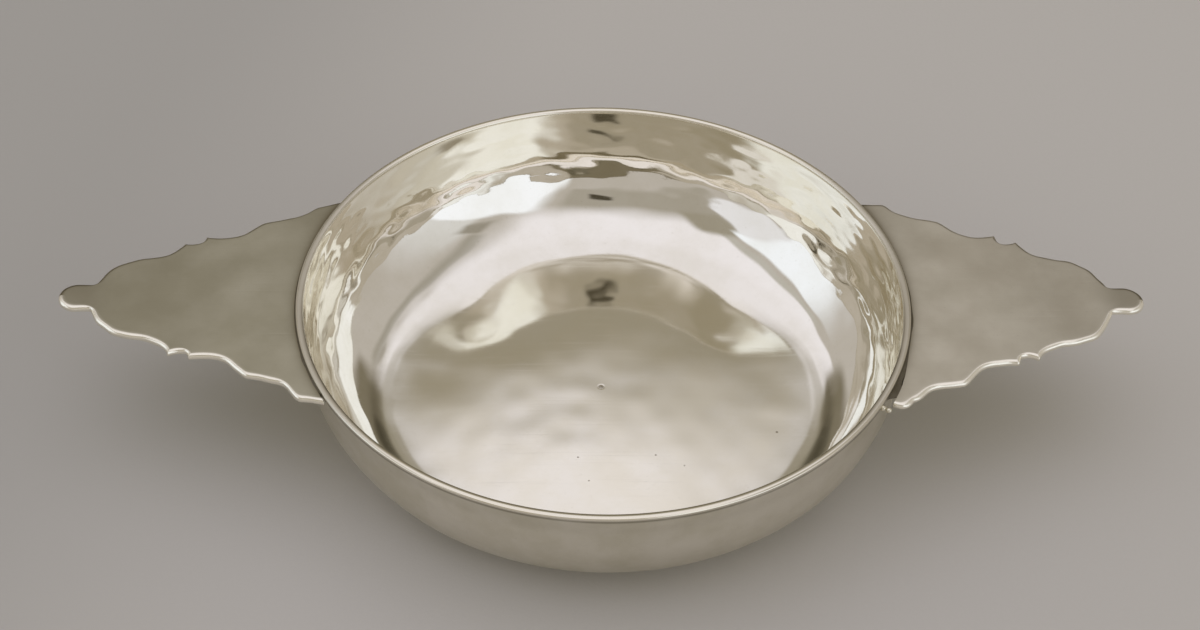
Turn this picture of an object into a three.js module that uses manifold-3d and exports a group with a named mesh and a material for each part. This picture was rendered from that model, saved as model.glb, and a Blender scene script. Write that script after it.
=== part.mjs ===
// A shallow two-handled silver bowl of the kind called an ecuelle.
// A bowl raised from one sheet, with two flat scalloped handles soldered to the outside of its rim.
// Millimetres, +Z up. The origin is on the surface that the bowl stands on, in the middle of the bowl,
// and the handles lie along X.
import * as THREE from 'three';
import * as BufferGeometryUtils from 'three/addons/utils/BufferGeometryUtils.js';
import Module from 'manifold-3d';

const wasm = await Module();
wasm.setup();

// Bowl
const bowlHeight = 39.4;
const rimRadius = 86.2;
const rimWidth = 2.1;
const rimDepth = 2.6;
const rimRound = 0.4;
const sheet = 1.3;
const coveRadius = 27;
const coveTurn = 84;
const rimTurn = 89.2;
const floorRise = 2.2;
const restingWidth = 4;
const creaseRadius = 66;
const creaseWidth = 2.4;
const creaseDepth = 0.25;
const punchRadius = 0.6;
const punchDepth = 0.35;
const roundSegments = 64;

// Handles
const plate = 1.7;
const handleDrop = 1.2;
const rootHalfWidth = 42;
const shoulderInset = 4.2;
const shoulderFall = 0.7;
const tongueReach = 9.6;
const riseSag = 0.5;
const baySag = 1.35;
const curveSteps = 5;
// The scallops of a handle's edge, in order from the bowl. Each runs away from the bowl and falls towards
// the handle's middle. The two plates were cut by hand and aren't quite alike, so their falls differ.
const scallops = {
  firstSweep: { run: 9, fall: { left: 7.5, right: 6.4 } },
  ledge: { run: 6, fall: { left: 0.9, right: 0.9 } },
  secondSweep: { run: 10.5, fall: { left: 7.8, right: 7.6 } },
  rise: { run: 6.5, fall: { left: -0.9, right: -0.9 } },
  nick: { run: 0.7, fall: { left: 2.4, right: 3 } },
  bay: { run: 5.1, fall: { left: 0, right: 0 } },
  thirdSweep: { run: 9.2, fall: { left: 6.1, right: 6.5 } },
  ogee: { run: 14.1, fall: { left: 12.2, right: 12.3 } },
};

// Solder
const seamGap = 0.3;
const topSeam = { width: 1.4, height: 0.55 };
const underSeam = { width: 1.7, height: 1.7 };
const seamInset = 4;

const floorTop = sheet;
const rimInner = rimRadius - rimWidth;
const radians = THREE.MathUtils.degToRad;

// The wall above the cove is one long arc, from the cove's last slope to the slope at the rim.
// Its radius follows from the height that is left, and the cove's centre from where the arc begins.
const coveTop = floorTop + coveRadius * (1 - Math.cos(radians(coveTurn)));
const wallRadius = (bowlHeight - coveTop) / (Math.cos(radians(coveTurn)) - Math.cos(radians(rimTurn)));
const wallCentre = {
  x: rimInner - wallRadius * Math.sin(radians(rimTurn)),
  z: bowlHeight + wallRadius * Math.cos(radians(rimTurn)),
};
const footRadius = wallCentre.x + (wallRadius - coveRadius) * Math.sin(radians(coveTurn));

function spread(from, to, steps) {
  return Array.from({ length: steps + 1 }, (_, i) => from + ((to - from) * i) / steps);
}

// Points of the sheet's cross-section. A skin of 0 is the inside, a skin of sheet is the outside.
function domePoints(base, radii) {
  return radii.map((r) => {
    const lift = (floorRise * (1 + Math.cos((Math.PI * r) / footRadius))) / 2;
    return new THREE.Vector2(r, base + lift);
  });
}

function covePoints(skin, turns) {
  return turns.map((turn) => {
    const a = radians(turn);
    const reach = coveRadius + skin;
    return new THREE.Vector2(footRadius + reach * Math.sin(a), floorTop + coveRadius - reach * Math.cos(a));
  });
}

function wallPoints(skin, turns) {
  return turns.map((turn) => {
    const a = radians(turn);
    const reach = wallRadius + skin;
    return new THREE.Vector2(wallCentre.x + reach * Math.sin(a), wallCentre.z - reach * Math.cos(a));
  });
}

// The turn of the wall's arc at which it is a given depth below the rim's top
function turnAtDepth(depth) {
  return THREE.MathUtils.radToDeg(Math.acos((wallCentre.z - bowlHeight + depth) / wallRadius));
}

// The punch mark in the middle of the floor, the gently raised floor, the cove with its crease and the wall
function insideProfile() {
  const middle = floorTop + floorRise;
  const creaseTurn = THREE.MathUtils.radToDeg(Math.asin((creaseRadius - footRadius) / coveRadius));
  const creaseHalfTurn = THREE.MathUtils.radToDeg(creaseWidth / 2 / coveRadius);
  const creaseEdges = [creaseTurn - creaseHalfTurn, creaseTurn + creaseHalfTurn];
  return [
    new THREE.Vector2(0, middle - punchDepth),
    new THREE.Vector2(punchRadius, middle),
    ...domePoints(floorTop, spread(0, footRadius, 6).slice(1, -1)),
    ...covePoints(0, spread(0, creaseEdges[0], 2)),
    ...covePoints(creaseDepth, [creaseTurn]),
    ...covePoints(0, spread(creaseEdges[1], coveTurn, 6)),
    ...wallPoints(0, [turnAtDepth(rimDepth)]),
  ];
}

// The thickened rim: a flat top with its two edges rubbed round, standing a little proud of the wall outside
function rimProfile() {
  const corner = (x, z, from, to) =>
    spread(from, to, 2).map((turn) => {
      const a = radians(turn);
      return new THREE.Vector2(x + rimRound * Math.cos(a), z + rimRound * Math.sin(a));
    });
  return [
    ...corner(rimInner + rimRound, bowlHeight - rimRound, 180, 90),
    ...corner(rimRadius - rimRound, bowlHeight - rimRound, 90, 0),
    new THREE.Vector2(rimRadius, bowlHeight - rimDepth),
  ];
}

// Down the outside of the wall and the cove, across the narrow ring that it stands on, and up under the floor
function outsideProfile() {
  const lipDepth = rimDepth + rimWidth - sheet;
  const restingHalf = restingWidth / 2;
  return [
    ...wallPoints(sheet, [turnAtDepth(lipDepth)]),
    ...covePoints(sheet, spread(coveTurn, 10, 7)),
    new THREE.Vector2(footRadius + restingHalf, 0),
    new THREE.Vector2(footRadius - restingHalf, 0),
    ...domePoints(0, spread(footRadius, 0, 5).slice(1)),
  ];
}

function lathe(profile) {
  return new THREE.LatheGeometry(profile, roundSegments).rotateX(Math.PI / 2);
}

function bowlGeometry() {
  return lathe([...insideProfile(), ...rimProfile(), ...outsideProfile()].reverse());
}

// One edge of the handle, from the shoulder beside the bowl to the middle of the tip
function handleEdge(side) {
  const edge = new THREE.Path();
  const at = new THREE.Vector2(rimRadius - shoulderInset, rootHalfWidth - shoulderFall);
  edge.moveTo(at.x, at.y);

  // Each moves the end of the edge along by one scallop
  const advance = ({ run, fall }) => {
    const start = at.clone();
    at.add(new THREE.Vector2(run, -fall[side]));
    return start;
  };
  const line = (scallop) => {
    advance(scallop);
    edge.lineTo(at.x, at.y);
  };
  // A hollow, deepest at a share of its run, that sags below its start
  const hollow = (scallop, share, sag) => {
    const start = advance(scallop);
    edge.quadraticCurveTo(start.x + share * scallop.run, start.y - sag, at.x, at.y);
  };
  // An S-shaped sweep. The two points that bend it are shares of its run and its fall.
  const sweep = (scallop, ...bends) => {
    const start = advance(scallop);
    const points = bends.flatMap(([run, fall]) => [
      start.x + run * scallop.run,
      start.y - fall * scallop.fall[side],
    ]);
    edge.bezierCurveTo(...points, at.x, at.y);
  };

  sweep(scallops.firstSweep, [0.3, 0.05], [0.36, 0.84]);
  line(scallops.ledge);
  sweep(scallops.secondSweep, [0.3, 0.05], [0.36, 0.84]);
  hollow(scallops.rise, 0.6, riseSag);
  line(scallops.nick);
  hollow(scallops.bay, 0.35, baySag);
  sweep(scallops.thirdSweep, [0.09, 0.44], [0.35, 0.84]);
  sweep(scallops.ogee, [0.54, 0.06], [0.82, 0.28]);
  const tongueHalf = at.y;
  at.x += tongueReach - tongueHalf;
  edge.lineTo(at.x, at.y);
  edge.absarc(at.x, 0, tongueHalf, Math.PI / 2, 0, true);
  return edge.getPoints(curveSteps);
}

// The plate's root is cut to the curve of the rim, with room for the solder
function rootArc() {
  const radius = rimRadius + seamGap;
  const half = Math.asin(rootHalfWidth / radius);
  return spread(-half, half, 12).map((a) => new THREE.Vector2(radius * Math.cos(a), radius * Math.sin(a)));
}

function handleGeometry(side) {
  const edge = handleEdge(side);
  const otherEdge = edge.slice(0, -1).reverse().map((p) => new THREE.Vector2(p.x, -p.y));
  const outline = new THREE.Shape([...rootArc(), ...edge, ...otherEdge]);
  return new THREE.ExtrudeGeometry(outline, { depth: plate, bevelEnabled: false })
    .translate(0, 0, bowlHeight - handleDrop - plate);
}

function solid(geometry) {
  const bare = geometry.clone().deleteAttribute('normal').deleteAttribute('uv');
  const merged = BufferGeometryUtils.mergeVertices(bare);
  return new wasm.Manifold(new wasm.Mesh({
    numProp: 3,
    vertProperties: new Float32Array(merged.attributes.position.array),
    triVerts: new Uint32Array(merged.index.array),
  }));
}

function geometryOf(manifold) {
  const mesh = manifold.getMesh();
  const geometry = new THREE.BufferGeometry();
  geometry.setAttribute('position', new THREE.BufferAttribute(mesh.vertProperties, 3));
  geometry.setIndex(new THREE.BufferAttribute(mesh.triVerts, 1));
  geometry.computeVertexNormals();
  return geometry;
}

// A fillet of solder beside the handle's root: a ring with a hollow face, kept only between two planes
// that stand a little in from the root's corners
function seamGeometry(radius, base, width, height) {
  const profile = [
    new THREE.Vector2(radius, base),
    new THREE.Vector2(radius + width, base),
    new THREE.Vector2(radius + 0.35 * width, base + 0.3 * height),
    new THREE.Vector2(radius, base + height),
    new THREE.Vector2(radius, base),
  ];
  const reach = radius + 2 * width;
  const breadth = 2 * (rootHalfWidth - seamInset);
  const slab = new THREE.BoxGeometry(reach, breadth, bowlHeight).translate(reach / 2, 0, base);
  const ring = lathe(height > 0 ? profile : [...profile].reverse());
  return geometryOf(solid(ring).intersect(solid(slab)));
}

function topSeamGeometry() {
  const base = bowlHeight - handleDrop + seamGap;
  return seamGeometry(rimRadius + seamGap, base, topSeam.width, topSeam.height);
}

function underSeamGeometry() {
  const base = bowlHeight - handleDrop - plate - seamGap;
  return seamGeometry(rimRadius - rimWidth + sheet + seamGap, base, underSeam.width, -underSeam.height);
}

const bowlSilver = new THREE.MeshStandardMaterial({ color: 0xd6d2c6, roughness: 0.16, metalness: 1 });
const handleSilver = new THREE.MeshStandardMaterial({ color: 0xb9b4a2, roughness: 0.38, metalness: 1 });
const solderSilver = new THREE.MeshStandardMaterial({ color: 0xc9c3b0, roughness: 0.42, metalness: 1 });

function piece(name, geometry, material) {
  const mesh = new THREE.Mesh(geometry, material);
  mesh.name = name;
  return mesh;
}

// The handle on one side with its two seams. The left side is the right one turned half round.
function handleSide(side) {
  const group = new THREE.Group();
  group.add(piece(`${side}_handle`, handleGeometry(side), handleSilver));
  group.add(piece(`${side}_solder_top`, topSeamGeometry(), solderSilver));
  group.add(piece(`${side}_solder_under`, underSeamGeometry(), solderSilver));
  return group;
}

const ecuelle = new THREE.Group();
ecuelle.add(piece('bowl', bowlGeometry(), bowlSilver));
const rightSide = handleSide('right');
const leftSide = handleSide('left');
leftSide.rotation.z = Math.PI;
ecuelle.add(rightSide, leftSide);

export default ecuelle;
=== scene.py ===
"""The looks of an ecuelle, a shallow silver bowl with two flat handles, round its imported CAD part.

Metres, +Z up. The bowl stands on the floor at the origin, and its handles lie along X.
"""
from math import comb

import bmesh
import bpy
import numpy as np
from mathutils import Matrix, Vector


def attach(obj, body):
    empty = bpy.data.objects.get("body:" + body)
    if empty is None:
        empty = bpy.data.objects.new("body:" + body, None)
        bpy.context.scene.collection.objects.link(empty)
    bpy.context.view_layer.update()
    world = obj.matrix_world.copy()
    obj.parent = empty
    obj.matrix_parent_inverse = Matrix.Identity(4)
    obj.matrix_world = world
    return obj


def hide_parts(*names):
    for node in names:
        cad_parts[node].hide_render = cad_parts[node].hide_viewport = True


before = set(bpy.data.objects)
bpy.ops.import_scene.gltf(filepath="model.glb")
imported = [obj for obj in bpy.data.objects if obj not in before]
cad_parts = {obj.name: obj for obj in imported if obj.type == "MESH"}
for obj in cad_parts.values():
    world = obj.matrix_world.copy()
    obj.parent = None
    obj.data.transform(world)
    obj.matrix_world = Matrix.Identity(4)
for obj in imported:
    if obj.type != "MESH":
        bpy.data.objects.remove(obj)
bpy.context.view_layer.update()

# The camera
# It stands in front of the bowl, at arm's length and a half, and looks down on it at 42 degrees.
# The bowl is turned a little on its floor, and the picture leans a little.
bowl_turn = 0.02827
camera_dip = 0.7386
picture_lean = 0.0229
camera_place = Vector((-0.01595, -0.53194, 0.51616))
camera_lens = 76.32


def camera_axes(turn, dip, lean):
    """The picture's right, up and backward directions: level axes, turned about Z, dipped, then leaned."""
    spin = Matrix.Rotation(-turn, 3, "Z")
    right = spin @ Vector((1, 0, 0))
    upward = spin @ Vector((0, np.sin(dip), np.cos(dip)))
    backward = spin @ Vector((0, -np.cos(dip), np.sin(dip)))
    across = np.cos(lean) * right + np.sin(lean) * upward
    return across, backward.cross(across), backward


camera = bpy.data.objects.new("camera", bpy.data.cameras.new("camera"))
bpy.context.scene.collection.objects.link(camera)
bpy.context.scene.camera = camera
camera.data.lens = camera_lens
camera.data.clip_start = 0.02
axes = Matrix(camera_axes(bowl_turn, camera_dip, picture_lean)).transposed()
camera.matrix_world = Matrix.Translation(camera_place) @ axes.to_4x4()
bpy.context.scene.view_settings.view_transform = "Standard"

# The studio
# A sweep of pale warm paper under a big soft lamp, with a second lamp on the left and a third in front on the
# right. The room beyond is a warm grey, darker low down behind the bowl, and all of it shows in the silver.


class Nodes:
    """Adds nodes to a tree and links them, so that a material reads as a list of steps."""

    def __init__(self, owner):
        owner.use_nodes = True
        self.tree = owner.node_tree
        self.tree.nodes.clear()

    def add(self, kind, settings=None, **inputs):
        """One node. Settings are its own properties, and inputs go to its sockets.

        An input is named after its socket, with _ for a space, or by the socket's number, as in i0.
        """
        node = self.tree.nodes.new(kind)
        for name, value in (settings or {}).items():
            setattr(node, name, value)
        for name, value in inputs.items():
            key = int(name[1:]) if name[1:].isdigit() else name.replace("_", " ")
            socket = node.inputs[key]
            if isinstance(value, bpy.types.NodeSocket):
                self.tree.links.new(value, socket)
            else:
                socket.default_value = value
        return node

    def math(self, operation, a, b=0.0, clamp=False):
        """The result of one sum on two numbers or sockets."""
        node = self.add("ShaderNodeMath", {"operation": operation, "use_clamp": clamp}, i0=a, i1=b)
        return node.outputs[0]

    def between(self, value, low, high, to_low=0.0, to_high=1.0):
        """Value carried smoothly from the range low to high onto the range to_low to to_high."""
        settings = {"interpolation_type": "SMOOTHSTEP"}
        node = self.add("ShaderNodeMapRange", settings, Value=value, From_Min=low, From_Max=high,
                        To_Min=to_low, To_Max=to_high)
        return node.outputs[0]

    def mix(self, share, a, b):
        """Colour a, with a share of colour b over it."""
        node = self.add("ShaderNodeMix", {"data_type": "RGBA"}, i0=share, i6=a, i7=b)
        return node.outputs[2]

    def noise(self, place, scale, detail=2.0, roughness=0.5):
        """Soft blotches, about 0 to 1, with a scale in blotches per metre."""
        node = self.add("ShaderNodeTexNoise", None, Vector=place, Scale=scale, Detail=detail,
                        Roughness=roughness)
        return node.outputs["Fac"]


world = bpy.data.worlds.new("studio")
bpy.context.scene.world = world
steps = Nodes(world)
direction = steps.add("ShaderNodeTexCoord").outputs["Generated"]
axis = steps.add("ShaderNodeSeparateXYZ", None, Vector=direction).outputs
# The sky above the bowl is laid flat: a direction's x and y are each divided by 1 plus its z, which puts the
# zenith at 0, 0 and the horizon on the circle of radius 1
lift = steps.math("MAXIMUM", steps.math("ADD", axis[2], 1.0), 0.05)
sky_x = steps.math("DIVIDE", axis[0], lift)
sky_y = steps.math("DIVIDE", axis[1], lift)


def patch(left, right, near, far):
    """How much of a patch of the flat sky shows: 1 inside its four edges, and 0 outside.

    Each edge is a pair, where it starts to show and where it shows in full.
    """
    across = steps.math("MULTIPLY", steps.between(sky_x, *left), steps.between(sky_x, *right))
    along = steps.math("MULTIPLY", steps.between(sky_y, *near), steps.between(sky_y, *far))
    return steps.math("MULTIPLY", across, along)


open_low, open_high = (-9, -8), (9, 8)
# The far edge of the lamp overhead is sharp in the middle, softer on both sides of it, and sharp again
# further out. Its spread comes from the square of sky_x: it moves the edge's start out and deepens the edge.
squared = steps.math("MULTIPLY", sky_x, sky_x)
grown = steps.math("MINIMUM", steps.math("MULTIPLY", squared, 22.0), 0.07)
spread = steps.math("MULTIPLY", grown, steps.between(squared, 0.025, 0.010))
edge_start = steps.math("ADD", steps.math("MULTIPLY", spread, 0.7), 0.452)
edge_depth = steps.math("ADD", steps.math("MULTIPLY", spread, 2.0), 0.062)
past_start = steps.math("SUBTRACT", edge_start, sky_y)
lamp_far = steps.between(steps.math("DIVIDE", past_start, edge_depth), 0.0, 1.0)
room = (0.49, 0.455, 0.415, 1)
for shade, left, right, near, far in (
    # the unlit end of the room behind the bowl, with the strip of paper that rises in front of it
    ((0.20, 0.175, 0.125, 1), (-0.46, -0.33), (0.55, 0.41), (0.40, 0.48), open_high),
    ((0.13, 0.115, 0.08, 1), (-0.30, -0.22), (0.30, 0.24), (0.52, 0.57), (0.70, 0.62)),
    ((0.33, 0.30, 0.24, 1), (-0.20, -0.10), (0.20, 0.10), (0.37, 0.41), (0.66, 0.50)),
    # the dim room in front
    ((0.385, 0.355, 0.305, 1), (-0.50, -0.42), (0.16, 0.10), (-0.62, -0.54), (-0.16, -0.24)),
    # the frames at the sides of the lamp overhead
    ((0.36, 0.335, 0.29, 1), (0.262, 0.285), (0.36, 0.31), (-0.16, -0.10), (0.45, 0.35)),
    ((0.50, 0.48, 0.44, 1), (-0.37, -0.35), (-0.30, -0.32), (-0.25, -0.20), (0.30, 0.25)),
    # the soft glow beside the lamp in front on the right
    ((0.68, 0.675, 0.67, 1), (0.33, 0.42), open_high, open_low, (0.12, -0.22)),
):
    room = steps.mix(patch(left, right, near, far), room, shade)
lamp_overhead = patch((-0.33, -0.30), (0.32, 0.16), (-0.36, -0.19), open_high)
room = steps.mix(steps.math("MULTIPLY", lamp_overhead, lamp_far), room, (0.87, 0.845, 0.885, 1))
for shade, left, right, near, far in (
    # a shaded corner of the lamp overhead
    ((0.34, 0.31, 0.25, 1), (-0.45, -0.41), (-0.21, -0.27), (-0.38, -0.32), (-0.12, -0.20)),
    # the lamp on the left, with its lower end, and the one in front on the right, with a bar over it
    ((0.93, 0.97, 1.04, 1), (-1.6, -1.5), (-0.38, -0.41), (-0.26, -0.18), (0.38, 0.10)),
    ((0.80, 0.80, 0.84, 1), (-0.80, -0.72), (-0.43, -0.47), (-0.51, -0.44), (-0.14, -0.22)),
    ((0.96, 0.99, 1.05, 1), (0.16, 0.24), open_high, open_low, (-0.25, -0.31)),
    ((0.32, 0.295, 0.25, 1), (0.28, 0.31), (0.45, 0.38), (-0.24, -0.21), (-0.13, -0.16)),
    # the camera
    ((0.07, 0.06, 0.04, 1), (-0.055, -0.03), (0.055, 0.03), (-0.495, -0.47), (-0.405, -0.43)),
):
    room = steps.mix(patch(left, right, near, far), room, shade)
# Low down, pale walls out of the mirror's view send soft light under the handles and the belly
light_path = steps.add("ShaderNodeLightPath").outputs
walls = steps.mix(steps.between(axis[2], 0.7, 0.2), room, (0.97, 0.89, 0.54, 1))
room = steps.mix(light_path["Is Diffuse Ray"], room, walls)
colour = steps.mix(light_path["Is Camera Ray"], room, (0.37, 0.35, 0.32, 1))
background = steps.add("ShaderNodeBackground", None, Color=colour)
steps.add("ShaderNodeOutputWorld", None, Surface=background.outputs[0])
# A view into the bowl meets its wall many times over, and each meeting counts as one bounce
bpy.context.scene.cycles.glossy_bounces = 12

floor_mesh = bpy.data.meshes.new("paper_floor")
reach = 4.0
corners = [(-reach, -reach, 0), (reach, -reach, 0), (reach, reach, 0), (-reach, reach, 0)]
floor_mesh.from_pydata(corners, [], [(0, 1, 2, 3)])
floor = bpy.data.objects.new("paper_floor", floor_mesh)
bpy.context.scene.collection.objects.link(floor)
paper = bpy.data.materials.new("paper")
steps = Nodes(paper)
place = steps.add("ShaderNodeTexCoord").outputs["Object"]
fibre = steps.noise(place, 900.0, 3.0)
cloud = steps.noise(place, 6.0)
mottle = steps.math("ADD", steps.math("MULTIPLY", fibre, 0.6), steps.math("MULTIPLY", cloud, 0.4))
shade = steps.mix(mottle, (0.545, 0.525, 0.515, 1), (0.575, 0.555, 0.549, 1))
# Painted shade: the paper's colour is darker towards its back left corner, where the real paper got less
# light
spot = steps.add("ShaderNodeSeparateXYZ", None, Vector=place).outputs
corner = steps.math("SUBTRACT", spot[0], steps.math("MULTIPLY", spot[1], 0.3))
shade = steps.mix(steps.between(corner, -0.05, -0.20), shade, (0.44, 0.428, 0.425, 1))
grain = steps.add("ShaderNodeBump", None, Strength=0.15, Distance=0.0002, Height=fibre)
surface = steps.add("ShaderNodeBsdfPrincipled", None, Base_Color=shade, Roughness=0.9,
                    Normal=grain.outputs[0])
steps.add("ShaderNodeOutputMaterial", None, Surface=surface.outputs[0])
floor_mesh.materials.append(paper)

# The bowl
# It is raised from one sheet of silver over stakes, so its wall keeps the long soft waves of the hammer.
# The rim is thickened and filed to a low crown, a crease runs round in the cove, and a punch mark, from
# which the smith measured the round, is in the middle of the floor.
mm = 0.001
bowl_height = 39.4 * mm
rim_radius = 86.2 * mm
rim_width = 2.1 * mm
rim_crest = 0.55
rim_crown = 0.6 * mm
inner_edge = 0.3 * mm
outer_edge = 0.5 * mm
taper_depth = 8 * mm
sheet = 1.3 * mm
cove_radius = 27 * mm
cove_turn = np.radians(84)
rim_turn = np.radians(89.2)
middle_height = 2.9 * mm
foot_rise = 1.5 * mm
resting_width = 4 * mm
crease_radius = 66 * mm
crease_width = 1.5 * mm
crease_depth = 0.06 * mm
punch_place = (-0.1 * mm, 0.5 * mm)
punch_radius = 0.7 * mm
punch_depth = 0.4 * mm
points_round = 384

rim_inner = rim_radius - rim_width
cove_top = sheet + cove_radius * (1 - np.cos(cove_turn))
wall_radius = (bowl_height - cove_top) / (np.cos(cove_turn) - np.cos(rim_turn))
wall_centre = (rim_inner - wall_radius * np.sin(rim_turn), bowl_height + wall_radius * np.cos(rim_turn))
foot_radius = wall_centre[0] + (wall_radius - cove_radius) * np.sin(cove_turn)
cove_centre = (foot_radius, sheet + cove_radius)
crease_turn = np.arcsin((crease_radius - foot_radius) / cove_radius)
crease_height = cove_centre[1] - cove_radius * np.cos(crease_turn)


def smooth(value, low, high):
    """0 at low and beyond it, and 1 at high and beyond it.

    Between them it is three times the square of the way less twice its cube.
    """
    share = np.clip((value - low) / (high - low), 0, 1)
    return share * share * (3 - 2 * share)


def valley_radius(around):
    """Where the floor is lowest, round the bowl.

    It comes in from 60 mm towards the back, by 4 mm less a wave of 1.5 mm that goes round four times, so it
    comes in most at 45 degrees to both sides.
    """
    back = smooth(np.sin(around), 0.1, 0.7)
    return (60 - back * (4 - 1.5 * np.cos(4 * around))) * mm


def floor_height(radius, valley):
    """The height of the floor inside the crease.

    Up to the valley it is half a cosine wave over the square of the way from the middle. From there an arc
    bends up to meet the cove's own slope at the crease.
    """
    bend = (crease_radius - valley) / np.sin(crease_turn)
    lowest = crease_height - bend * (1 - np.cos(crease_turn))
    dome = lowest + (middle_height - lowest) * (1 + np.cos(np.pi * np.minimum(radius / valley, 1) ** 2)) / 2
    return dome + bend - np.sqrt(bend**2 - np.maximum(radius - valley, 0) ** 2)


def arc(centre, radius, turn):
    """Points of a circle in the cross-section, with the turn measured from straight down.

    They lie out from its centre by the radius times the turn's sine, and down by the radius times its cosine.
    """
    return np.stack([centre[0] + radius * np.sin(turn), centre[1] - radius * np.cos(turn)], 1)


def wall_turn(depth):
    """The turn of the wall's long arc at a depth below the rim's top.

    Its cosine is how far the arc's centre lies above that depth, as a share of the radius.
    """
    return np.arccos((wall_centre[1] - bowl_height + depth) / wall_radius)


def inside_section():
    """Radius and height up the inside: the floor, the arc of the cove and the long arc of the wall.

    The floor's heights are left at nought, to be filled in round the bowl, and its rings lie closest at the
    punch mark and the valley.
    """
    near_middle = [0, 0.2, 0.4, 0.55, 0.7, 0.85, 1.0, 1.15, 1.3, 1.5, 1.7, 1.9, 2.2, 2.6]
    floor_radius = np.concatenate([near_middle, np.linspace(3.2, 53, 44), np.linspace(54, 65.4, 20)]) * mm
    wall_turns = np.linspace(cove_turn, wall_turn(rim_fall(0) + inner_edge), 18)[1:-1]
    return np.vstack([
        np.stack([floor_radius, 0 * floor_radius], 1),
        arc(cove_centre, cove_radius, np.linspace(crease_turn, cove_turn, 46)),
        arc(wall_centre, wall_radius, wall_turns),
    ])


def rim_fall(across):
    """How far the rim lies below its crest, at a share of the way across it.

    It is the crown times the square of that share less the crest's own.
    """
    return rim_crown * (across - rim_crest) ** 2


def rim_section():
    """Over the rim's crown, with a parabola at its inner edge and an arc round its outer one."""
    across = np.array([0, 0.02, 0.045, 0.07, 0.1, 0.14, 0.2, 0.3, 0.4, 0.5, 0.6, 0.7, 0.75])
    edge = np.clip(1 - across * rim_width / inner_edge, 0, 1)
    top_height = bowl_height - rim_fall(across) - inner_edge * edge**2
    centre = (rim_radius - outer_edge, bowl_height - rim_fall(1) - outer_edge)
    return np.vstack([
        np.stack([rim_inner + rim_width * across, top_height], 1),
        arc(centre, outer_edge, np.radians([165, 150, 135, 120, 105])),
    ])


def outside_section():
    """Down the outside, where the rim's thickness tapers off, across the ring it stands on, and underneath.

    The underside rises to its middle as half a cosine wave.
    """
    top_depth = rim_fall(1) + outer_edge
    turn = np.linspace(wall_turn(top_depth), cove_turn, 22)
    depth = bowl_height - wall_centre[1] + wall_radius * np.cos(turn)
    thickness = sheet + (rim_width - sheet) * smooth(depth, taper_depth, top_depth)
    half_ring = resting_width / 2
    ring = [[foot_radius + half_ring, 0.02 * mm], [foot_radius + 0.7 * half_ring, 0],
            [foot_radius - 0.7 * half_ring, 0], [foot_radius - half_ring, 0.02 * mm]]
    under = np.linspace(foot_radius - 2 * half_ring, 0, 26)
    return np.vstack([
        arc(wall_centre, wall_radius + thickness, turn),
        arc(cove_centre, cove_radius + sheet, np.linspace(cove_turn, np.radians(6), 34)[1:]),
        ring,
        np.stack([under, foot_rise * (1 + np.cos(np.pi * under / foot_radius)) / 2], 1),
    ])


def grid_faces(rows, columns):
    """Four corner numbers of each face of a grid of points, whose last column meets its first.

    A point's number is its row times the number of columns, plus its column.
    """
    row = np.arange(rows - 1)[:, None] * columns
    column = np.arange(columns)[None, :]
    beside = (column + 1) % columns
    corners = [row + column, row + beside, row + columns + beside, row + columns + column]
    return np.stack(corners, 2).reshape(-1, 4)


def waves(first, second, length_first, length_second, count, seed, turn_radius=0.0):
    """A soft uneven field: the sum of many cosines in random directions, scaled to a usual height of 1.

    The lengths are those of the waves along the two coordinates. With a turn radius, the second coordinate
    is an angle, and each wave goes round a whole number of times.
    """
    draw = np.random.default_rng(seed)
    heading = draw.uniform(0, 2 * np.pi, count)
    pitch = draw.uniform(0.6, 1.4, count)
    phase = draw.uniform(0, 2 * np.pi, count)
    rate_first = 2 * np.pi * pitch * np.cos(heading) / length_first
    rate_second = 2 * np.pi * pitch * np.sin(heading) / length_second
    if turn_radius:
        rate_second = np.round(rate_second * turn_radius)
    total = np.zeros(np.broadcast(first, second).shape)
    for a, b, c in zip(rate_first, rate_second, phase):
        total += np.cos(a * first + b * second + c)
    return total * np.sqrt(2 / count)


def blows(first, second, turn_radius, *sets):
    """The sum of several sets of waves.

    Each set is its height and its two lengths, all in millimetres, with its count and its seed.
    """
    total = 0
    for wave_height, length_first, length_second, count, seed in sets:
        total = total + wave_height * mm * waves(first, second, length_first * mm, length_second * mm,
                                                 count, seed, turn_radius)
    return total


def outward(points):
    """Unit normals of a grid of points that closes on itself along its second direction.

    Each is the cross product of the steps between its neighbours in the two directions, over its own length.
    """
    along = np.gradient(points, axis=0)
    across = np.roll(points, -1, axis=1) - np.roll(points, 1, axis=1)
    normal = np.cross(across, along)
    return normal / np.maximum(np.linalg.norm(normal, axis=2, keepdims=True), 1e-12)


def new_piece(name, points, faces, replaced, slot_name, material, **marks):
    """A smooth closed mesh that rides on the root body and stands for a CAD node.

    Each mark is a number at every point, which the material reads as an attribute. Points that meet become
    one, and the faces are turned outwards.
    """
    mesh = bpy.data.meshes.new(name)
    mesh.from_pydata(points.reshape(-1, 3).tolist(), [], faces.tolist())
    for mark, values in marks.items():
        attribute = mesh.attributes.new(mark, "FLOAT", "POINT")
        attribute.data.foreach_set("value", values.ravel().astype(np.float32))
    shell = bmesh.new()
    shell.from_mesh(mesh)
    bmesh.ops.remove_doubles(shell, verts=shell.verts, dist=0.001 * mm)
    bmesh.ops.recalc_face_normals(shell, faces=shell.faces)
    shell.to_mesh(mesh)
    shell.free()
    mesh.shade_smooth()
    mesh.materials.append(material)
    piece = bpy.data.objects.new(name, mesh)
    bpy.context.scene.collection.objects.link(piece)
    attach(piece, "root")
    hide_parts(replaced)


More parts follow.
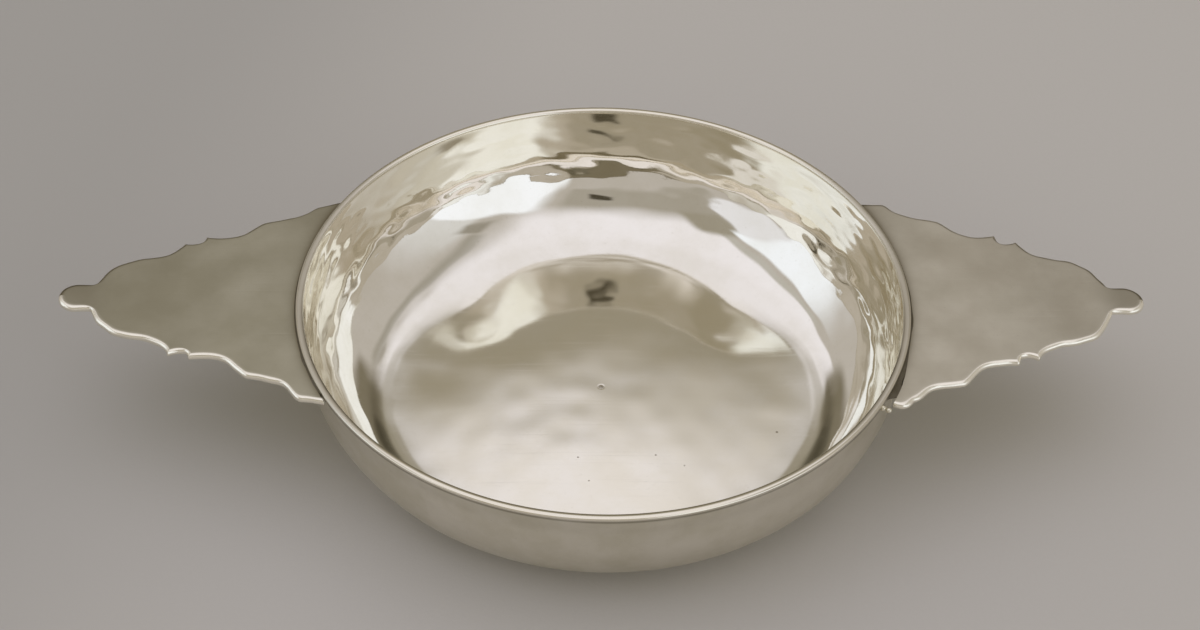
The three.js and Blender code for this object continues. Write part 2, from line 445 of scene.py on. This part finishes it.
section = np.vstack([inside_section(), rim_section(), outside_section()])
around = np.linspace(0, 2 * np.pi, points_round, endpoint=False)
inside = (np.arange(len(section)) < len(inside_section()))[:, None]
radius, height = section[:, :1], section[:, 1:]
in_crease = inside & (radius < crease_radius)
height = np.where(in_crease, floor_height(np.minimum(radius, crease_radius), valley_radius(around)), height)
round_points = np.stack([radius * np.cos(around), radius * np.sin(around), height], 2)
along_section = np.concatenate([[0], np.cumsum(np.linalg.norm(np.diff(section, axis=0), axis=1))])[:, None]

# The waves of the hammer: shallow round blows on the floor, and long ones along the stake in cove and wall.
# They die out at the rim and at the ring that the bowl stands on.
x, y = round_points[..., 0], round_points[..., 1]
on_cove = smooth(radius, 54 * mm, 68 * mm)
on_wall = smooth(height, 7 * mm, 17 * mm)
floor_dents = blows(x, y, 0, (0.007, 13, 13, 60, 3), (0.022, 45, 45, 30, 4))
cove_dents = blows(along_section, around, rim_radius, (0.016, 8, 20, 80, 5), (0.045, 18, 48, 40, 6))
wall_dents = blows(along_section, around, rim_radius,
                   (0.025, 4, 10, 90, 7), (0.042, 8, 17, 80, 18), (0.060, 15, 40, 40, 19))
# Towards the back the floor is a little fuller on both sides, and more so on the left, as a bell curve over
# the radius
fuller = np.where(np.cos(around) < 0, 0.5 * mm, 0.34 * mm)
fuller = fuller * smooth(np.abs(np.cos(around)), 0.35, 0.85) * smooth(np.sin(around), -0.2, 0.2)
floor_dents = floor_dents + fuller * np.exp(-((radius - 48 * mm) / (10 * mm)) ** 2)
# The wall was planished smoother at the back
wall_dents = wall_dents * (1 - 0.4 * smooth(np.sin(around), 0.85, 0.98))
dents = floor_dents * (1 - on_cove) + (cove_dents + wall_dents * on_wall) * on_cove
dents = np.where(inside, dents, 0.6 * dents * smooth(np.abs(radius - foot_radius), 3 * mm, 12 * mm))
dents = dents * smooth(height, bowl_height - 1.5 * mm, bowl_height - 5 * mm)
# The crease is pressed deeper where the smith's mallet struck harder, in front on both sides
press = smooth(-np.sin(around), -0.3, 0.4)
crease = np.exp(-((radius - crease_radius) / crease_width) ** 2) * inside * press
dents = dents - crease_depth * crease
# The punch mark is a cone with a low burr round it
from_punch = np.hypot(x - punch_place[0], y - punch_place[1])
punch = punch_depth * np.clip(1 - from_punch / punch_radius, 0, 1)
burr = 0.04 * mm * np.exp(-((from_punch - punch_radius - 0.1 * mm) / (0.15 * mm)) ** 2)
dents = dents + np.where(inside, burr - punch, 0)
# The belly hangs a little fuller on the left in front, 215 degrees round from the right handle
belly_turn = 3.75
belly = 0.9 * mm * np.exp(-((around - belly_turn) / 0.55) ** 2)
belly = belly * np.sin(np.pi * height / bowl_height) * on_cove
dents = dents + np.where(inside, -belly, belly)
bowl_points = round_points + outward(round_points) * dents[..., None]

# How bright each place is kept: the wall is burnished, the floor rubbed dull by spoons, the outside satin,
# and the rim bright again, but less so at both sides
past_crease = smooth(radius, crease_radius - 1.5 * mm, crease_radius + 2 * mm)
burnish = np.where(inside, 0.76 + 0.24 * past_crease, 0.0)
on_rim = smooth(height, bowl_height - 0.9 * mm, bowl_height - 0.5 * mm) * (radius > rim_inner)
at_sides = on_rim * smooth(np.abs(np.cos(around)), 0.6, 0.9)
burnish = burnish + 0.8 * on_rim - 0.5 * at_sides
# The colour is darkened in the crease and a little on the rim at both sides, in a line under the rim outside,
# which is painted shade under the lip, and at the rim's inner edge in front, which is a painted dark
# reflection
under_rim_shade = np.exp(-((height - bowl_height + 1.3 * mm) / (0.35 * mm)) ** 2) * ~inside
edge_shade_line = np.exp(-((radius - rim_inner) / (0.6 * mm)) ** 2) * (height > bowl_height - 0.8 * mm)
edge_shade_line = edge_shade_line * smooth(-np.sin(around), -0.2, 0.5)
soil = np.clip(crease * 0.6 + under_rim_shade * 0.7 + edge_shade_line * 0.7 + at_sides * 0.3, 0, 1)
# The floor and the rim have a yellow cast
yellow = np.where(inside, smooth(radius, 62 * mm, 50 * mm), 1.4 * on_rim)


def scratches(place, turn, lines):
    """Thin lines in one direction, here and there: a noise drawn out along them and cut off high up."""
    drawn = steps.add("ShaderNodeMapping", None, Vector=place, Rotation=(0.3, 0.5, turn),
                      Scale=(25, lines, lines))
    return steps.between(steps.noise(drawn.outputs[0], 1.0, 1.0), 0.64, 0.72)


silver = bpy.data.materials.new("burnished_silver")
steps = Nodes(silver)
place = steps.add("ShaderNodeTexCoord").outputs["Object"]
kept = steps.add("ShaderNodeAttribute", {"attribute_name": "burnish"}).outputs["Fac"]
dirt_and_shade = steps.add("ShaderNodeAttribute", {"attribute_name": "soil"}).outputs["Fac"]
yellowed = steps.add("ShaderNodeAttribute", {"attribute_name": "yellow"}).outputs["Fac"]
cloud = steps.noise(place, 55.0, 4.0, 0.6)
speck = steps.noise(place, 1400.0, 3.0, 0.7)
bright = steps.mix(kept, (0.80, 0.76, 0.66, 1), (0.95, 0.925, 0.865, 1))
dull = steps.mix(kept, (0.70, 0.66, 0.54, 1), (0.89, 0.86, 0.78, 1))
metal = steps.mix(steps.between(cloud, 0.35, 0.7), bright, dull)
tint = steps.math("MULTIPLY", yellowed, steps.between(cloud, 0.2, 0.7, 0.3, 0.8))
metal = steps.mix(tint, metal, (0.88, 0.83, 0.70, 1))
metal = steps.mix(steps.between(speck, 0.62, 0.75, 0.0, 0.25), metal, (0.45, 0.39, 0.28, 1))
# Darkening from the mark set on the bowl, partly painted shade under the rim and a painted dark reflection at
# the rim's inner edge in front
stain_and_shade = steps.math("MULTIPLY", dirt_and_shade, steps.between(cloud, 0.2, 0.6, 0.5, 1.0))
metal = steps.mix(stain_and_shade, metal, (0.16, 0.13, 0.08, 1))
# Dirt in the punch mark and in five small pits in the floor. Each is its place, seen straight from above, and
# how far it reaches, in millimetres.
pits = 0.0
level_place = steps.add("ShaderNodeVectorMath", {"operation": "MULTIPLY"}, i0=place, i1=(1, 1, 0)).outputs[0]
for pit_x, pit_y, pit_reach in (
    (-0.1, 0.5, 1.1), (-7, -28, 0.4), (-4, -37, 0.35), (15, -27, 0.4), (50, -17, 0.5), (23, -31, 0.3),
):
    pit_place = (pit_x * mm, pit_y * mm, 0)
    away = steps.add("ShaderNodeVectorMath", {"operation": "DISTANCE"}, i0=level_place, i1=pit_place)
    hole = steps.between(away.outputs["Value"], pit_reach * mm, 0.4 * pit_reach * mm)
    pits = steps.math("MAXIMUM", pits, hole)
metal = steps.mix(steps.math("MULTIPLY", pits, kept), metal, (0.2, 0.17, 0.11, 1))
lines = steps.math("ADD", scratches(place, 0.4, 1500), scratches(place, 2.1, 1900))
polish = steps.between(kept, 0.0, 1.0, 0.36, 0.02)
polish = steps.math("ADD", polish, steps.math("MULTIPLY", steps.between(cloud, 0.3, 0.75), 0.035))
polish = steps.math("ADD", polish, steps.math("MULTIPLY", steps.math("ADD", lines, dirt_and_shade), 0.04))
relief = steps.math("SUBTRACT", steps.math("MULTIPLY", speck, 0.5), steps.math("MULTIPLY", lines, 0.15))
skin = steps.add("ShaderNodeBump", None, Strength=0.12, Distance=0.00003, Height=relief)
surface = steps.add("ShaderNodeBsdfPrincipled", None, Base_Color=metal, Metallic=1.0, Roughness=polish,
                    Normal=skin.outputs[0])
steps.add("ShaderNodeOutputMaterial", None, Surface=surface.outputs[0])
new_piece("bowl_silver", bowl_points, grid_faces(len(section), points_round), "bowl", "bowl_silver", silver,
          burnish=burnish + 0 * around, soil=soil, yellow=yellow + 0 * around)

# The handles
# Two flat plates of silver, sawn to a scalloped outline and filed round along the edges. They follow one
# pattern but were cut by eye, so each of their four edges has falls of its own. The roots are soldered on.
half_plate = 0.85 * mm
plate_middle = bowl_height - 2.05 * mm
edge_round = 1.1 * mm
widest_level = -0.35 * mm
root_radius = 86.5 * mm
root_half_width = 42 * mm
shoulder = 82 * mm
handle_reach = 152.7 * mm
cut_length = 36 * mm
points_along = 320
points_across = 40
# A scallop runs away from the bowl by its first number, in millimetres, and guide points bend it. A guide
# point has a share of the run, a share of the fall, and a sag below that, in millimetres.
sweep = [(0.30, 0.05, 0), (0.36, 0.84, 0)]
scallops = [
    (9, sweep),
    (6, []),
    (10.5, sweep),
    (6.5, [(0.6, 0, 0.5)]),
    (0.7, []),
    (5.1, [(0.35, 0, 1.35)]),
    (9.2, [(0.09, 0.44, 0), (0.35, 0.84, 0)]),
    (14.1, [(0.54, 0.12, 0), (0.75, 0.30, 0)]),
]
# In millimetres: how far from the middle each edge starts at the shoulder, how far each of its scallops
# falls, and how far its lobe bends it out before the shoulder
cuts = {
    "left": {"far": (39.6, [5.3, 1.7, 7.0, -0.4, 2.4, 0.6, 6.4, 11.4], 0),
             "near": (40.9, [7.6, 1.2, 7.8, -0.5, 2.0, -0.6, 6.7, 11.6], 0)},
    "right": {"far": (41.8, [5.7, 1.6, 7.0, -0.7, 3.5, -0.6, 7.3, 12.5], 0),
              "near": (40.4, [5.3, 0.7, 8.3, 0.3, 2.4, -0.4, 5.8, 13.3], 3.2)},
}
# How far the near end of each root stands off the rim
root_gap = {"left": 0.0, "right": 1.7 * mm}


def curve(*guides):
    """Points of a smooth curve: each guide point counts by its binomial share of the way along."""
    degree = len(guides) - 1
    way = np.linspace(0, 1, 30)[:, None]
    shares = [comb(degree, k) * way**k * (1 - way) ** (degree - k) for k in range(degree + 1)]
    return sum(share * guide for share, guide in zip(shares, guides))


def soften(values, spread):
    """A running mean with the weights of a bell curve, whose spread is in points."""
    reach = int(3 * spread) + 1
    weights = np.exp(-0.5 * (np.arange(-reach, reach + 1) / spread) ** 2)
    padded = np.pad(values, reach, mode="edge")
    return np.convolve(padded, weights / weights.sum(), mode="valid")


def sawn_edge(start, falls, lobe):
    """The line of an edge from the root's corner to the tip, evenly spaced, for y above 0.

    The scallops are curves end to end, and the tongue is a quarter of a circle after a straight piece. The
    piece between the corner and the shoulder is bent outwards by the lobe, in millimetres.
    """
    corner = np.array([np.sqrt(root_radius**2 - root_half_width**2), root_half_width])
    at = np.array([shoulder, start * mm])
    parts = [curve(corner, (corner + at) / 2 + (0, lobe * mm), at)]
    for (run, guides), fall in zip(scallops, falls):
        bends = [at + mm * np.array([along * run, -down * fall - sag]) for along, down, sag in guides]
        stop = at + mm * np.array([run, -fall])
        parts.append(curve(at, *bends, stop))
        at = stop
    half = at[1]
    turn = np.linspace(0, np.pi / 2, 40)[:, None]
    parts.append([handle_reach - half, 0] + half * np.hstack([np.sin(turn), np.cos(turn)]))
    line = np.vstack(parts)
    length = np.concatenate([[0], np.cumsum(np.linalg.norm(np.diff(line, axis=0), axis=1))])
    even = np.linspace(0, length[-1], points_along)
    return np.stack([np.interp(even, length, line[:, k]) for k in (0, 1)], 1)


def inner_line(outline, outside, inset, spread):
    """The outline moved in by an inset along its normals.

    It is softened over the spread plus 0.8 of the inset, so that it never loops.
    """
    moved = outline - outside * inset
    spacing = np.linalg.norm(np.diff(outline, axis=0), axis=1).mean()
    return np.stack([soften(moved[:, k], (spread + 0.8 * inset) / spacing) for k in (0, 1)], 1)


def plate_points(side, seed):
    """The plate as rings of points round its cross-section, from the root to the tip, for the right side.

    A ring leaves the far edge over its rounding, crosses the top to the near edge and comes back below.
    The root's end is cut to the rim's curve, and that cut fades out over the first part of the plate.
    """
    far = sawn_edge(*cuts[side]["far"])
    near = sawn_edge(*cuts[side]["near"]) * (1, -1)
    outline = np.vstack([far, near[-2::-1]])
    heading = np.gradient(outline, axis=0)
    heading = heading / np.linalg.norm(heading, axis=1, keepdims=True)
    outside = np.stack([-heading[:, 1], heading[:, 0]], 1)
    # The saw wandered a little from its line, but not at the root and the tip
    step = np.arange(len(outline))
    steady = smooth(np.minimum(step, step[::-1]), 0, 20) * smooth(np.abs(step - points_along + 1), 10, 40)
    outline = outline + outside * (0.1 * mm * waves(step, 0, 24, 1, 14, seed) * steady)[:, None]
    turn = np.radians(np.linspace(0, 90, 8))
    insets = np.append(edge_round * (1 - np.cos(turn)), np.array([1.3, 1.9, 2.7, 3.6]) * mm)
    lines = np.stack([inner_line(outline, outside, inset, 0.2 * mm) for inset in insets], 1)
    lines[points_along - 1] = np.stack([handle_reach - insets, 0 * insets], 1)
    far_ring, near_ring = lines[:points_along], lines[:points_along - 2:-1]
    share = np.linspace(0, 1, points_across)[1:-1, None]
    face = far_ring[:, -1:] * (1 - share) + near_ring[:, -1:] * share
    half_ring = np.concatenate([far_ring, face, near_ring[:, ::-1]], axis=1)
    root_y = half_ring[0, :, 1]
    gap = root_gap[side] * smooth(-root_y, 18 * mm, 40 * mm)
    cut = np.sqrt((root_radius + gap) ** 2 - root_y**2) - half_ring[0, :, 0]
    # The points lie about 0.3 mm apart along the edges
    fade = 1 - smooth(np.arange(points_along) * 0.3 * mm, 0, cut_length)
    half_ring[..., 0] += cut * fade[:, None]
    slope = np.clip(insets / edge_round, 0, 1)
    bulge = np.sqrt(1 - (1 - slope) ** 2)
    flat = np.ones(points_across - 2)
    across = np.concatenate([bulge, flat, bulge[::-1]])
    # The edge is widest a little below the plate's middle, round above that and squarer below
    top = widest_level + (half_plate - widest_level) * across**0.9
    bottom = widest_level - (half_plate + widest_level) * across**0.5
    unevenness = 0.03 * mm * waves(half_ring[..., 0], half_ring[..., 1], 19 * mm, 19 * mm, 50, seed + 2)
    upper = np.dstack([half_ring, top + unevenness])
    lower = np.dstack([half_ring, bottom + unevenness])[:, -2:0:-1]
    rings = np.concatenate([upper, lower], axis=1)
    root_end = rings[:1] * (1, 1, 0)
    return np.concatenate([root_end, rings])


for side, sign, seed in (("left", -1, 20), ("right", 1, 30)):
    points = plate_points(side, seed)
    rows, columns = points.shape[:2]
    from_axis = np.hypot(points[..., 0], points[..., 1])
    column = np.arange(columns)
    # Hands have brightened the near edge, and its colour is lightened further there as a painted highlight.
    # The colour is darker at the root and towards the tongue, and at the far edge and the root's far corner
    # as painted shade
    near_steps = np.abs(column - columns // 2)
    far_steps = np.minimum(column, columns - column)
    worn = smooth(near_steps, 9, 5) * np.ones((rows, 1))
    from_root = np.maximum(from_axis - root_radius, 0)
    far_corner_shade = smooth(points[..., 1], 10 * mm, 40 * mm) * np.exp(-from_root / (8 * mm))
    from_middle = points[..., 0]
    # Painted shade at the far edge and in the root's far corner, with more darkening at the root and towards
    # the tongue
    soil = (0.9 * np.exp(-from_root / (1.2 * mm)) + 0.35 * far_corner_shade + 0.6 * smooth(far_steps, 9, 4)
            + 0.22 * smooth(from_middle, 100 * mm, 128 * mm) + 0.35 * smooth(from_middle, 137 * mm, 147 * mm))
    satin = bpy.data.materials.new(f"{side}_handle_satin")
    steps = Nodes(satin)
    place = steps.add("ShaderNodeTexCoord").outputs["Object"]
    rubbed_and_highlit = steps.add("ShaderNodeAttribute", {"attribute_name": "worn"}).outputs["Fac"]
    dirt_and_shade = steps.add("ShaderNodeAttribute", {"attribute_name": "soil"}).outputs["Fac"]
    cloud = steps.noise(place, 45.0, 4.0, 0.6)
    speck = steps.noise(place, 1500.0, 3.0, 0.7)
    # The left plate's tones are darker than the right's as painted shade: both plates are the same silver
    light, dark = {"left": ((0.53, 0.50, 0.39, 1), (0.45, 0.42, 0.31, 1)),
                   "right": ((0.72, 0.68, 0.57, 1), (0.61, 0.565, 0.46, 1))}[side]
    metal = steps.mix(steps.between(cloud, 0.3, 0.7), light, dark)
    metal = steps.mix(steps.between(speck, 0.6, 0.75, 0.0, 0.2), metal, (0.3, 0.27, 0.19, 1))
    # Darkening from the mark set on the plate, partly painted shade at its far edge and the root's far corner
    metal = steps.mix(steps.math("MULTIPLY", dirt_and_shade, 0.85), metal, (0.18, 0.15, 0.09, 1))
    # The near edge's colour is lightened towards white: a painted highlight along it, over real wear
    metal = steps.mix(rubbed_and_highlit, metal, (0.97, 0.93, 0.81, 1))
    lines = steps.math("ADD", scratches(place, 0.2, 1300), scratches(place, 1.2, 1700))
    polish = steps.between(cloud, 0.3, 0.75, 0.33, 0.39)
    polish = steps.math("SUBTRACT", polish, steps.math("MULTIPLY", rubbed_and_highlit, 0.13))
    relief = steps.math("SUBTRACT", steps.math("MULTIPLY", speck, 0.6), steps.math("MULTIPLY", lines, 0.5))
    skin = steps.add("ShaderNodeBump", None, Strength=0.2, Distance=0.00004, Height=relief)
    surface = steps.add("ShaderNodeBsdfPrincipled", None, Base_Color=metal, Metallic=1.0, Roughness=polish,
                        Normal=skin.outputs[0])
    steps.add("ShaderNodeOutputMaterial", None, Surface=surface.outputs[0])
    placed = points * (sign, 1, 1) + (0, 0, plate_middle)
    new_piece(f"{side}_handle_plate", placed, grid_faces(rows, columns), f"{side}_handle", "handle_silver",
              satin, worn=worn, soil=soil)

# The solder
# A thin fillet of hard solder runs along each root, in the corner between the rim and the top of the plate,
# and a broader one in the corner underneath. They were filed by hand, so they are lumpy and full of dirt.
seam_half_turn = np.radians(28)
# How far each fillet's foot lies from the bowl's middle, with its width and its height
top_fillet = (86.0 * mm, 1.0 * mm, 0.4 * mm)
under_fillet = (85.3 * mm, 1.9 * mm, -1.8 * mm)
solder = bpy.data.materials.new("filed_solder")
steps = Nodes(solder)
place = steps.add("ShaderNodeTexCoord").outputs["Object"]
dirt_and_shade = steps.add("ShaderNodeAttribute", {"attribute_name": "soil"}).outputs["Fac"]
cloud = steps.noise(place, 300.0, 4.0, 0.6)
metal = steps.mix(steps.between(cloud, 0.3, 0.7), (0.88, 0.84, 0.72, 1), (0.70, 0.65, 0.50, 1))
metal = steps.mix(dirt_and_shade, metal, (0.07, 0.055, 0.03, 1))
grit = steps.noise(place, 1100.0, 3.0)
skin = steps.add("ShaderNodeBump", None, Strength=0.5, Distance=0.00015, Height=grit)
polish = steps.between(dirt_and_shade, 0.0, 0.9, 0.22, 0.42)
surface = steps.add("ShaderNodeBsdfPrincipled", None, Base_Color=metal, Metallic=1.0, Roughness=polish,
                    Normal=skin.outputs[0])
steps.add("ShaderNodeOutputMaterial", None, Surface=surface.outputs[0])


def fillet(fillet_sizes, base, drop, widening, seed):
    """A fillet along the root's arc, for the right side: its face is a hollow quarter of an ellipse.

    Its width and height vary along it with soft lumps and run out to nothing at its ends. Towards its near
    end it sinks by drop, and its width grows by the share widening.
    """
    foot, width, rise = fillet_sizes
    angle = np.linspace(-seam_half_turn, seam_half_turn, 160)[:, None]
    turn = np.radians(np.linspace(0, 90, 9))
    lumps = np.clip(1 + 0.12 * waves(angle, 0, 0.11, 1, 14, seed), 0.3, 2)
    share = lumps * smooth(np.abs(angle), seam_half_turn, 0.9 * seam_half_turn)
    near_end = smooth(-angle, np.radians(10), np.radians(25))
    out = np.append(width * (1 - np.cos(turn)), [0])
    up = np.append(rise * (1 - np.sin(turn)), [-0.3 * rise])
    away = foot + share * out * (1 + widening * near_end)
    level = base + share * up - drop * near_end
    return np.stack([away * np.cos(angle), away * np.sin(angle), level], 2)


def ball(centre, ball_radius):
    """Circles of points from the bottom to the top of a ball.

    Each circle is as wide as the sine of its turn from the bottom, and lies as far down as the cosine.
    """
    turn = np.linspace(0, np.pi, 13)[:, None]
    angle = np.linspace(0, 2 * np.pi, 20, endpoint=False)
    level = -np.cos(turn) + 0 * angle
    rings = np.stack([np.sin(turn) * np.cos(angle), np.sin(turn) * np.sin(angle), level], 2)
    return centre + ball_radius * rings


# The fillets start just inside the faces of the plates
top_base = plate_middle + half_plate - 0.06 * mm
under_base = plate_middle - half_plate + 0.03 * mm
for side, sign, drop, widening in (("left", -1, 0.0, 0.0), ("right", 1, 0.9 * mm, 1.5)):
    top = fillet(top_fillet, top_base, drop, widening, 40 + sign)
    under = fillet(under_fillet, under_base, 0.0, 0.0, 40 + sign)
    for level, points, dirt_share in (("top", top, 0.9), ("under", under, 0.72)):
        rows, columns = points.shape[:2]
        new_piece(f"{side}_seam_{level}", points * (sign, 1, 1), grid_faces(rows, columns),
                  f"{side}_solder_{level}", "solder", solder, soil=np.full((rows, columns), dirt_share))
# Two clean drops of solder ran out at the near end of the right seam: their centres and radii in millimetres
for drop_number, drop_centre, drop_radius in (
    (1, (74.7, -43.7, 37.9), 0.85),
    (2, (76.2, -44.4, 37.7), 0.8),
):
    points = ball(np.array(drop_centre) * mm, drop_radius * mm)
    rows, columns = points.shape[:2]
    new_piece(f"right_solder_drop_{drop_number}", points, grid_faces(rows, columns), "right_solder_top",
              "solder", solder, soil=np.zeros((rows, columns)))
